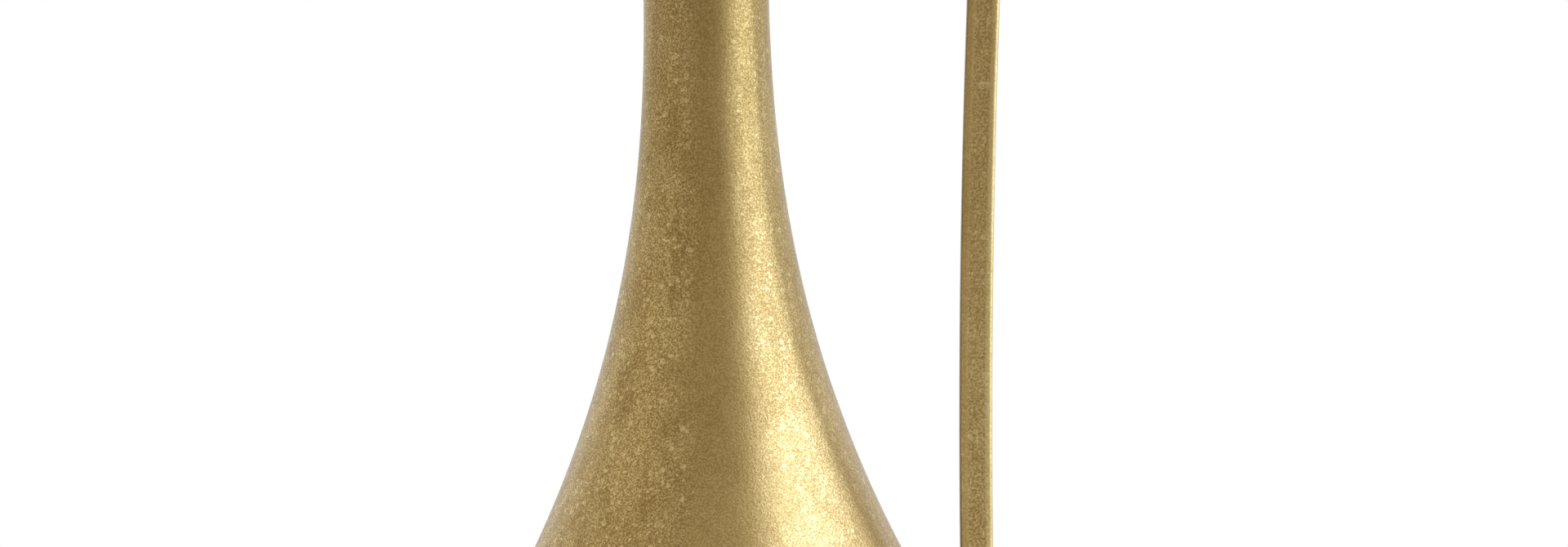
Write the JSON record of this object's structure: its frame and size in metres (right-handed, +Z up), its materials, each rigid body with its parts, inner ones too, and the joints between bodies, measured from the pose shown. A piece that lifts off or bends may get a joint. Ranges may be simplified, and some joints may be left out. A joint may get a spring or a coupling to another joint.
{
  "type": "dallah coffee pot",
  "caption": "Tall slender brass dallah coffee pot: round belly, long flared neck, open beak spout, hinged domed lid with turned finial, and a flat cast bar handle.",
  "frame": {"origin": "centre of the foot ring, on the table", "axes": "+Z up along the pot's axis, +X towards the handle, -X towards the spout, +Y completes a right-handed frame"},
  "size_m": [0.1739, 0.15, 0.376],
  "materials": {
    "body_brass": "satin antique brass sheet with a fine mottled brown patina",
    "cast_brass": "sand-cast brass, pitted faces and filed edges",
    "worn_brass": "turned brass, brighter where hands and cloths rub",
    "inner_brass": "dull dark brass that is never polished"
  },
  "bodies": {
    "pot": {"foot_ring": "body_brass", "belly_bowl": "body_brass", "neck_shell": "body_brass", "waist_collar": "worn_brass", "mouth_cup": "body_brass", "rim_bead": "worn_brass", "spout_beak": "body_brass", "spout_edge_wires": "worn_brass", "strainer": "inner_brass", "hinge_bracket": "cast_brass", "hinge_bracket_rivets": "worn_brass", "hinge_pin": "worn_brass", "handle": "cast_brass", "handle_top_rivets": "worn_brass", "handle_saddle": "cast_brass", "handle_saddle_rivets": "worn_brass", "handle_foot_rivets": "worn_brass"},
    "lid": {"lid_dome": "body_brass", "lid_collar": "body_brass", "lid_hinge_leaf": "cast_brass", "lid_leaf_rivets": "worn_brass", "thumb_piece": "cast_brass", "finial_base": "worn_brass", "finial_bulb": "body_brass", "finial_spire": "worn_brass", "finial_stud": "inner_brass", "finial_washer": "inner_brass", "finial_nut": "inner_brass"}
  },
  "joints": [
    {"name": "lid_hinge", "type": "hinge", "parent": "pot", "child": "lid", "pos_m": [0.041, 0, 0.3145], "axis": [0, 1, 0], "range_deg": [0, 98]}
  ]
}
